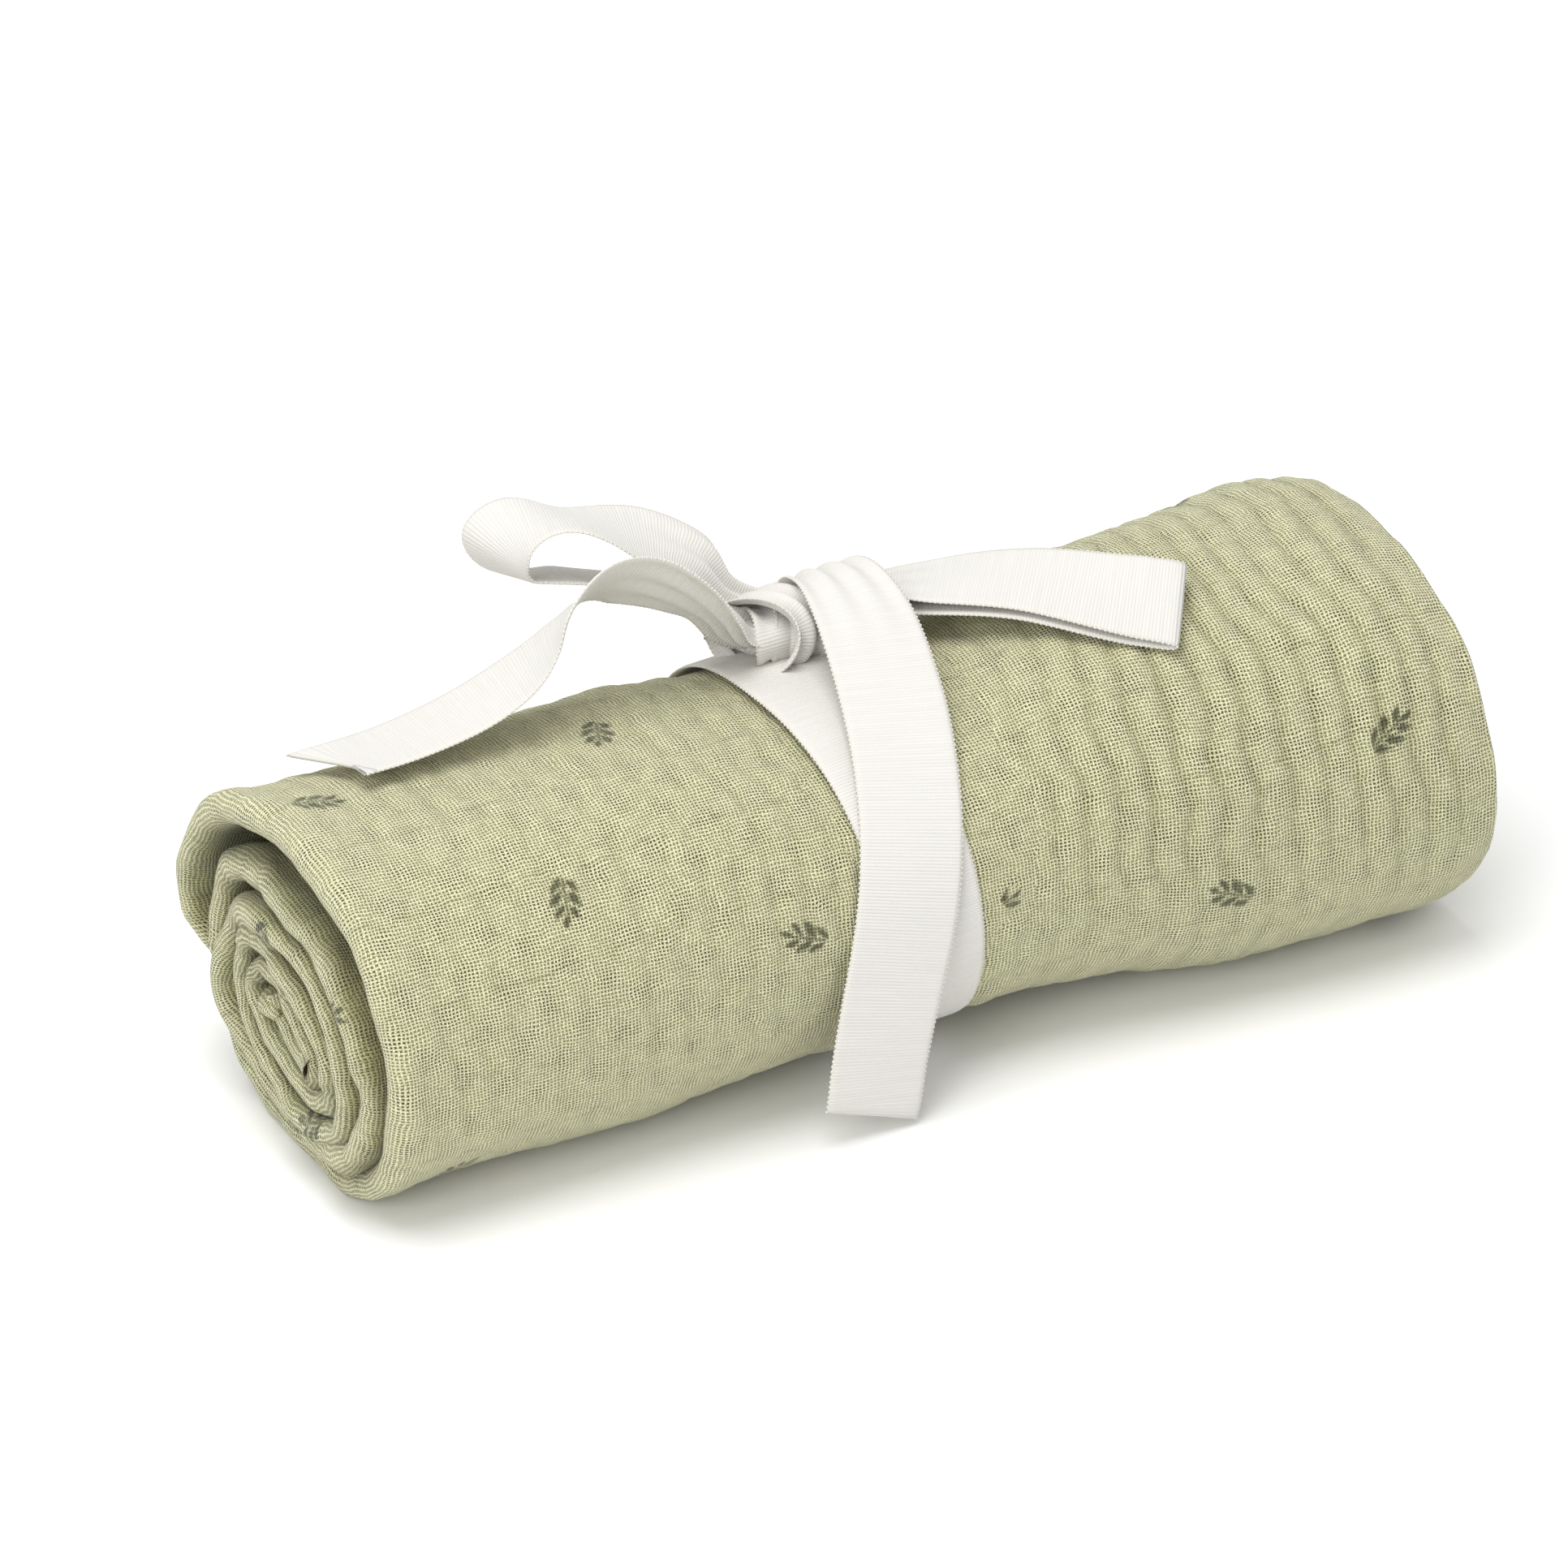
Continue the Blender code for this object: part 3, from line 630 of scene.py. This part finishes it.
def strand(name, middle, width, across, end_cut=0.0, closed=False, columns=25):
    """A ribbon strand along its middle line (mm), its width gathered into pleats where it is narrower."""
    count = len(middle)
    if closed:
        along = np.roll(middle, -1, axis=0) - np.roll(middle, 1, axis=0)
    else:
        along = np.gradient(middle, axis=0)
    along /= np.linalg.norm(along, axis=1)[:, None]
    across = across - along * (across * along).sum(1)[:, None]
    across /= np.linalg.norm(across, axis=1)[:, None]
    if not closed:  # a tight fold keeps both its layers' edges in line
        held = np.pad(across, ((5, 5), (0, 0)), mode="edge")
        across = np.mean([held[k:k + count] for k in range(11)], axis=0)
        across /= np.linalg.norm(across, axis=1)[:, None]
    up = np.cross(across, along)
    up /= np.linalg.norm(up, axis=1)[:, None]
    v = np.linspace(-1, 1, columns)
    gathered = np.clip(1 - width / RIBBON_WIDTH, 0, 1)
    wave = np.cos(v * math.pi * 3.0)[None, :] * (gathered * 3.0)[:, None]
    run = np.concatenate([[0], np.cumsum(np.linalg.norm(np.diff(middle, axis=0), axis=1))])
    cup = 0.25 * uneven(run[:, None] / 17, v[None, :] * 0.8 + 4.0, 41 + len(name))
    flat = middle[:, None, :] + across[:, None, :] * (v[None, :, None] * width[:, None, None] / 2)
    if end_cut:
        slant = np.zeros((count, columns))
        slant[-1] = end_cut * v
        slant[-2] = end_cut * v * 0.5
        flat = flat + along[:, None, :] * slant[:, :, None]
    shape = np.ones(columns)
    shape[[0, -1]] = 0.45
    points, uvs = [], []
    for side in (1, -1):
        lift = wave + cup + side * RIBBON_THICK / 2 * shape[None, :]
        points.append((flat + up[:, None, :] * lift[:, :, None]).reshape(-1, 3))
        place = np.broadcast_arrays(v[None, :] * RIBBON_WIDTH / 2, run[:, None])
        uvs.append(np.stack(place, 2).reshape(-1, 2))
    number = lambda side, i, j: side * count * columns + (i % count) * columns + j
    faces = []
    for i in range(count if closed else count - 1):
        for j in range(columns - 1):
            a, b, c, d = ((i, j), (i, j + 1), (i + 1, j + 1), (i + 1, j))
            faces.append(tuple(number(0, *k) for k in (a, b, c, d)))
            faces.append(tuple(number(1, *k) for k in (d, c, b, a)))
        for j in (0, columns - 1):
            f = (number(0, i, j), number(0, i + 1, j), number(1, i + 1, j), number(1, i, j))
            faces.append(f if j == 0 else f[::-1])
    if not closed:
        for i in (0, count - 1):
            for j in range(columns - 1):
                f = (number(0, i, j + 1), number(0, i, j), number(1, i, j), number(1, i, j + 1))
                faces.append(f if i == 0 else f[::-1])
    edge = flat + up[:, None, :] * (wave + cup)[:, :, None]
    for j in (0, -1):
        line = edge[:, j]
        ribbon_edges.append(np.concatenate([line, line[:1]]) if closed else line)
    piece = add_piece(name, np.concatenate(points), faces, ribbon_cotton,
                      [("ribbon", np.concatenate(uvs) * MM)])
    return piece, run[-1]


def hand_in_ribbon(piece, node):
    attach(piece, "root")
    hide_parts(node)


band_angle = np.linspace(0, 360, BAND_STATIONS, endpoint=False)
band_x = BAND_X + BAND_SWAY * np.cos(np.radians(band_angle - BAND_PHASE))
cloth_faces = BVHTree.FromObject(muslin, bpy.context.evaluated_depsgraph_get())


def height_of_cloth(x, angle):
    """How far in mm the cloth stands off the roll's plain form here."""
    clear, inside = 9.0, -3.0
    start, end = (off_roll([x], [angle], [lift])[0] * MM for lift in (clear, inside))
    hit = cloth_faces.ray_cast(Vector(start), Vector(end - start).normalized())
    return clear - hit[3] / MM if hit[0] is not None else 0.0


# The band rests on the highest of the cloth across its width.
band_lift = np.array([max(height_of_cloth(x + v, a) for v in (-9.5, -6, -3, 0, 3, 6, 9.5))
                      for x, a in zip(band_x, band_angle)])
highest = np.max([np.roll(band_lift, k) for k in range(-3, 4)], axis=0)
band_lift = np.mean([np.roll(highest, k) for k in range(-4, 5)], axis=0) + RIBBON_THICK / 2 + 0.12
band_middle = off_roll(band_x, band_angle, band_lift)

# Over the cloth's loose edge the band is drawn straight from the layer above to the layer below.
bridge = np.abs((band_angle - LOOSE_EDGE_ANGLE + 4 + 180) % 360 - 180)
bridge = (1 - ease(bridge, 16, 38))[:, None]
straight = np.mean([np.roll(band_middle, k, axis=0) for k in range(-8, 9)], axis=0)
outward = straight - [0, 0, straight[:, 2].mean()]
outward[:, 0] = 0
straight = straight + 0.9 * outward / np.linalg.norm(outward, axis=1)[:, None]
band_middle = band_middle * (1 - bridge) + straight * bridge
band, band_length = strand("waist_band", band_middle, np.full(BAND_STATIONS, RIBBON_WIDTH),
                           np.tile([1.0, 0, 0], (BAND_STATIONS, 1)), closed=True)
hand_in_ribbon(band, "ribbon_band")

# ---------------------------------------------------------------------------------------------------
# THE KNOT
# The ribbon's own middle, drawn round the crossing twice and pulled into tight folds. Inside the wraps
# the loops' and tails' inner ends are crushed together.
# ---------------------------------------------------------------------------------------------------
KNOT_X, KNOT_ANGLE, KNOT_LIFT = -1.0, 64.0, 7.2
KNOT_WRAPS = dict(       # how each wrap is turned, its half sizes, its width and where it lies
    columns=("turn", "out", "up", "width", "along", "higher"),
    rows=(
        (26, 10.2, 7.2, 14.5, -3.4, 0.0), (-18, 9.2, 6.3, 13.5, 3.4, -0.8), (6, 8.0, 5.2, 17.5, -1.5, -0.4),
    ),
)
WRAP_STATIONS = 72
HEART_LONG, HEART_WIDE, HEART_HIGH = 11.0, 7.4, 5.2  # half sizes of the crushed inside

knot_middle, knot_top = (off_roll(KNOT_X, KNOT_ANGLE, lift) for lift in (KNOT_LIFT, KNOT_LIFT + 1))
knot_up = (knot_top - knot_middle) / np.linalg.norm(knot_top - knot_middle)
knot_long = np.array([1.0, 0, 0])
knot_side = np.cross(knot_up, knot_long)
for number, (turn, out, up, width, along, higher) in enumerate(KNOT_WRAPS["rows"], 1):
    turned = math.radians(turn)
    axis = math.cos(turned) * knot_long + math.sin(turned) * knot_side
    side = np.cross(knot_up, axis)
    bend = np.radians(np.linspace(0, 360, WRAP_STATIONS, endpoint=False))
    middle = (knot_middle + axis * along + knot_up * higher
              + side * (out * np.cos(bend))[:, None] + knot_up * (up * np.sin(bend))[:, None])
    wrap, length = strand(f"knot_wrap_{number}", middle, width * (1 - 0.16 * np.cos(bend * 2 + number)),
                          np.tile(axis, (WRAP_STATIONS, 1)), closed=True)
    hand_in_ribbon(wrap, "ribbon_knot")

rings, sides = 20, 36
points = [knot_middle - HEART_LONG * knot_long]
for i in range(1, rings):
    share = -math.cos(math.pi * i / rings)
    for k in range(sides):
        angle = 2 * math.pi * k / sides
        fold = 1 + 0.10 * math.cos(5 * angle + 2.5 * share) + 0.05 * math.cos(9 * angle - 4 * share)
        size = (1 - abs(share) ** 2.6) ** 0.5 * fold
        points.append(knot_middle + knot_long * HEART_LONG * share
                      + knot_side * HEART_WIDE * size * math.cos(angle)
                      + knot_up * HEART_HIGH * size * math.sin(angle))
points.append(knot_middle + HEART_LONG * knot_long)
ring = lambda i, k: 1 + (i - 1) * sides + k % sides
faces = [(0, ring(1, k + 1), ring(1, k)) for k in range(sides)]
faces += [(ring(i, k), ring(i, k + 1), ring(i + 1, k + 1), ring(i + 1, k))
          for i in range(1, rings - 1) for k in range(sides)]
faces += [(len(points) - 1, ring(rings - 1, k), ring(rings - 1, k + 1)) for k in range(sides)]
points = np.array(points)
first_normal = np.cross(points[faces[0][1]] - points[0], points[faces[0][2]] - points[0])
if np.dot(first_normal, knot_long) > 0:
    faces = [face[::-1] for face in faces]
heart = add_piece("knot_heart", points, faces, ribbon_cotton, [("ribbon", points[:, [1, 0]] * MM)])
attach(heart, "root")
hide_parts("ribbon_knot")

# ---------------------------------------------------------------------------------------------------
# THE BOW'S LOOPS AND TAILS
# Two loops and two free ends come out of the knot, gathered into pleats there and full width beyond. The
# tails are cut a little aslant.
# ---------------------------------------------------------------------------------------------------
# Some strands are placed by x, y and z, and those that lie on the roll by x, the angle round it and the
# lift off it. Heading and slope say which way the strand's width points, in degrees.
PLACES = ("x", "y", "z", "width", "heading", "slope")
BENDS = ("x", "angle", "lift", "width", "heading", "slope")
LEFT_LOOP = dict(
    columns=PLACES,
    rows=(
        (-4, 21.0, 75.5, 9, 32, -10), (-11.5, 23.5, 79.5, 12, 32, -8), (-16, 25.7, 86, 16.5, 32, -5),
        (-26, 29.5, 93, 20, 50, -7),
        (-38, 33, 97.6, 20, 66, -20), (-46.5, 36, 97.6, 20, 98, -12), (-51.5, 38, 92, 20, 114, -16),
        (-48.5, 37.5, 86.2, 20, 104, -18), (-39, 34, 85.4, 20, 84, -20), (-27, 30.5, 82, 18, 72, -20),
        (-18.5, 27, 77.5, 14, 66, -20), (-13.2, 25.5, 73.2, 10.5, 66, -24),
        (-4, 22.0, 71.0, 8, 66, -24),
    ),
)
RIGHT_LOOP = dict(
    columns=BENDS,
    rows=(
        (1.5, 62.5, 8.0, 10, 66, -24), (9.6, 63, 9.6, 13, 66, -24), (17, 69, 9.4, 17, 62, -16),
        (27, 77, 7.8, 20, 58, -6), (39, 88, 6.1, 20, 54, 3), (52, 100, 4.6, 20, 50, 13),
        (62, 107.5, 3.6, 20, 47, 20),
        (64.6, 109.4, 2.8, 20, 47, 20), (62, 107.7, 2.0, 20, 47, 20), (52, 100.4, 2.4, 20, 50, 12),
        (39, 88.6, 3.8, 20, 54, 2), (26, 77.0, 5.2, 19, 58, -8), (12.4, 65.5, 6.0, 13, 66, -24),
        (3.0, 63.5, 6.0, 9, 66, -24),
    ),
)
LEFT_TAIL = dict(
    columns=PLACES,
    rows=(
        (-4, 17.0, 72.0, 8, 80, -36), (-13.2, 14.8, 75.5, 10, 80, -36), (-18.5, 13.5, 82, 13, 72, -46),
        (-26.5, 12.5, 89.5, 16, 66, -54),
        (-35, 12.2, 94.8, 18.5, 66, -56), (-42, 12.2, 96.2, 20, 68, -52), (-48, 12.5, 92.5, 20, 72, -40),
        (-52, 13, 86.4, 20, 80, -26), (-58.5, 14, 80.2, 20, 88, -14), (-69, 15, 74.8, 20, 88, -11),
        (-82, 15.5, 71.8, 20, 87, -11), (-96, 16, 70.6, 20, 87, -12),
    ),
)
FRONT_TAIL = dict(
    columns=BENDS,
    rows=(
        (4.0, 56, 8.0, 9, 14, 0), (6.5, 61, 14.0, 13, 10, 0), (7.2, 72, 16.2, 16, 6, 0),
        (6.4, 88, 12.8, 19, 3, 0),
        (3.8, 108, 7.5, 20, 0, 0), (0.0, 130, 4.6, 20, -2, 0), (-4.0, 152, 3.6, 20, -4, 0),
        (-8.0, 174, 4.0, 20, -4, 0), (-11.5, 192, 6.0, 20, -2, 0), (-14.2, 205, 10.0, 20, 0, 0),
        (-16.2, 215.5, 16.0, 20, 2, 0),
    ),
)


def through(rows, count):
    """A smooth path through the rows (Catmull-Rom), as count evenly spaced rows."""
    rows = np.array(rows, float)
    ends = np.concatenate([[2 * rows[0] - rows[1]], rows, [2 * rows[-1] - rows[-2]]])
    path = []
    for i in range(len(rows) - 1):
        p0, p1, p2, p3 = ends[i : i + 4]
        for t in np.linspace(0, 1, 24, endpoint=False):
            path.append(0.5 * (2 * p1 + (p2 - p0) * t + (2 * p0 - 5 * p1 + 4 * p2 - p3) * t * t
                               + (3 * p1 - p0 - 3 * p2 + p3) * t ** 3))
    path = np.array(path + [rows[-1]])
    run = np.concatenate([[0], np.cumsum(np.linalg.norm(np.diff(path[:, :3], axis=0), axis=1))])
    at = np.linspace(0, run[-1], count)
    return np.stack([np.interp(at, run, path[:, c]) for c in range(path.shape[1])], axis=1)


def bent_strand(name, table, count, **more):
    path = through(table["rows"], count)
    middle = path[:, :3]
    if table["columns"][1] == "angle":
        middle = off_roll(path[:, 0], path[:, 1], path[:, 2])
    heading, slope = np.radians(path[:, 4]), np.radians(path[:, 5])
    across = np.stack([np.cos(heading) * np.cos(slope), np.sin(heading) * np.cos(slope), np.sin(slope)], 1)
    return strand(name, middle, path[:, 3], across, **more)


loop_left, length = bent_strand("bow_loop_left", LEFT_LOOP, 110)
hand_in_ribbon(loop_left, "ribbon_loop_left")
loop_right, length = bent_strand("bow_loop_right", RIGHT_LOOP, 110)
hand_in_ribbon(loop_right, "ribbon_loop_right")
tail_left, length = bent_strand("bow_tail_left", LEFT_TAIL, 90, end_cut=5.0)
hand_in_ribbon(tail_left, "ribbon_tail_left")
tail_front, length = bent_strand("bow_tail_front", FRONT_TAIL, 100, end_cut=2.0)
hand_in_ribbon(tail_front, "ribbon_tail_front")

# ---------------------------------------------------------------------------------------------------
# THE PICOTS
# Along both edges of the ribbon the weft turns in a small loop at even steps, which shows as a fine
# saw-tooth. Each is a bead set on the edge line.
# ---------------------------------------------------------------------------------------------------
PICOT_STEP, PICOT_SIZE = 1.0, 0.27


def along_lines(name):
    """A node tree that sets a small bead at even steps along every line of a mesh."""
    tree = bpy.data.node_groups.new(name, "GeometryNodeTree")
    tree.is_modifier = True
    for label, kind in (("Geometry", "Geometry"), ("Step", "Float"), ("Size", "Float"),
                        ("Material", "Material")):
        tree.interface.new_socket(label, in_out="INPUT", socket_type="NodeSocket" + kind)
    tree.interface.new_socket("Geometry", in_out="OUTPUT", socket_type="NodeSocketGeometry")
    nodes, links = tree.nodes, tree.links
    given, out = nodes.new("NodeGroupInput"), nodes.new("NodeGroupOutput")
    lines, even = nodes.new("GeometryNodeMeshToCurve"), nodes.new("GeometryNodeResampleCurve")
    even.mode = "LENGTH"
    bead, put = nodes.new("GeometryNodeMeshIcoSphere"), nodes.new("GeometryNodeInstanceOnPoints")
    real, paint = nodes.new("GeometryNodeRealizeInstances"), nodes.new("GeometryNodeSetMaterial")
    links.new(given.outputs["Geometry"], lines.inputs["Mesh"])
    links.new(lines.outputs[0], even.inputs["Curve"])
    links.new(given.outputs["Step"], even.inputs["Length"])
    links.new(given.outputs["Size"], bead.inputs["Radius"])
    links.new(even.outputs[0], put.inputs["Points"])
    links.new(bead.outputs["Mesh"], put.inputs["Instance"])
    links.new(put.outputs[0], real.inputs[0])
    links.new(real.outputs[0], paint.inputs["Geometry"])
    links.new(given.outputs["Material"], paint.inputs["Material"])
    links.new(paint.outputs[0], out.inputs["Geometry"])
    return tree


edge_points, edge_lines = [], []
for line in ribbon_edges:
    first = len(edge_points)
    edge_points += (np.asarray(line) * MM).tolist()
    edge_lines += [(first + i, first + i + 1) for i in range(len(line) - 1)]
edge_mesh = bpy.data.meshes.new("ribbon_picots")
edge_mesh.from_pydata(edge_points, edge_lines, [])
picots = bpy.data.objects.new("ribbon_picots", edge_mesh)
bpy.context.scene.collection.objects.link(picots)
tree = along_lines("picots_along_edge")
maker = picots.modifiers.new("picots", "NODES")
maker.node_group = tree
socket = {item.name: item.identifier for item in tree.interface.items_tree if item.in_out == "INPUT"}
maker[socket["Step"]] = PICOT_STEP * MM
maker[socket["Size"]] = PICOT_SIZE * MM
maker[socket["Material"]] = ribbon_cotton
graph = bpy.context.evaluated_depsgraph_get()
made = bpy.data.meshes.new_from_object(picots.evaluated_get(graph), depsgraph=graph)
picots.modifiers.clear()
picots.data = made
made.materials.clear()
made.materials.append(ribbon_cotton)
made.polygons.foreach_set("material_index", np.zeros(len(made.polygons), np.int32))
made.polygons.foreach_set("use_smooth", np.ones(len(made.polygons), bool))
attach(picots, "root")
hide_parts("ribbon_band", "ribbon_loop_left", "ribbon_loop_right", "ribbon_tail_left",
            "ribbon_tail_front")

# ---------------------------------------------------------------------------------------------------
# FLOOR, LIGHT AND CAMERA
# A plain pale floor, two broad soft lights and an even pale surround.
# ---------------------------------------------------------------------------------------------------
floor_mesh = bpy.data.meshes.new("floor")
floor_mesh.from_pydata([(-4, -4, 0), (4, -4, 0), (4, 4, 0), (-4, 4, 0)], [], [(0, 1, 2, 3)])
floor = bpy.data.objects.new("floor", floor_mesh)
bpy.context.scene.collection.objects.link(floor)
paper = Maker("white_paper")
paper.shader.inputs["Base Color"].default_value = (0.93, 0.93, 0.93, 1)
paper.shader.inputs["Roughness"].default_value = 0.9
floor_mesh.materials.append(paper.material)

world = bpy.data.worlds.new("surround")
world.use_nodes = True
world.node_tree.nodes["Background"].inputs[0].default_value = (1, 1, 1, 1)
world.node_tree.nodes["Background"].inputs[1].default_value = 0.72
bpy.context.scene.world = world


def soft_light(name, place, target, size, power):
    light = bpy.data.lights.new(name, "AREA")
    light.shape, light.size, light.energy = "DISK", size, power
    lamp = bpy.data.objects.new(name, light)
    bpy.context.scene.collection.objects.link(lamp)
    lamp.location = place
    way = np.array(target, float) - np.array(place, float)
    tilt, heading = math.atan2(math.hypot(way[0], way[1]), -way[2]), math.atan2(way[1], way[0])
    lamp.rotation_euler = (tilt, 0, heading - math.pi / 2)


soft_light("overhead", (-0.25, -0.1, 1.3), (0, 0, 0), 0.9, 11.0)
soft_light("front_left", (-1.2, -0.9, 0.9), (0, 0, 0.04), 0.8, 7.0)

CAMERA_TURN, CAMERA_HEIGHT, CAMERA_AWAY = -27.5, 31.3, 2.4
VIEW_WIDTH = 0.2905      # of what the camera sees at the object
SENSOR = 36.0
camera = bpy.data.objects.new("camera", bpy.data.cameras.new("camera"))
bpy.context.scene.collection.objects.link(camera)
turn, rise = math.radians(CAMERA_TURN), math.radians(CAMERA_HEIGHT)
back = np.array([math.sin(turn) * math.cos(rise), -math.cos(turn) * math.cos(rise), math.sin(rise)])
aim = np.array([-0.01124, 0.0, 0.0509])
camera.location = aim + back * CAMERA_AWAY
camera.rotation_euler = (math.pi / 2 - rise, 0, turn)
camera.data.sensor_width = SENSOR
camera.data.lens = SENSOR * CAMERA_AWAY / VIEW_WIDTH
camera.data.clip_end = 20
bpy.context.scene.camera = camera
bpy.context.scene.view_settings.view_transform = "Standard"
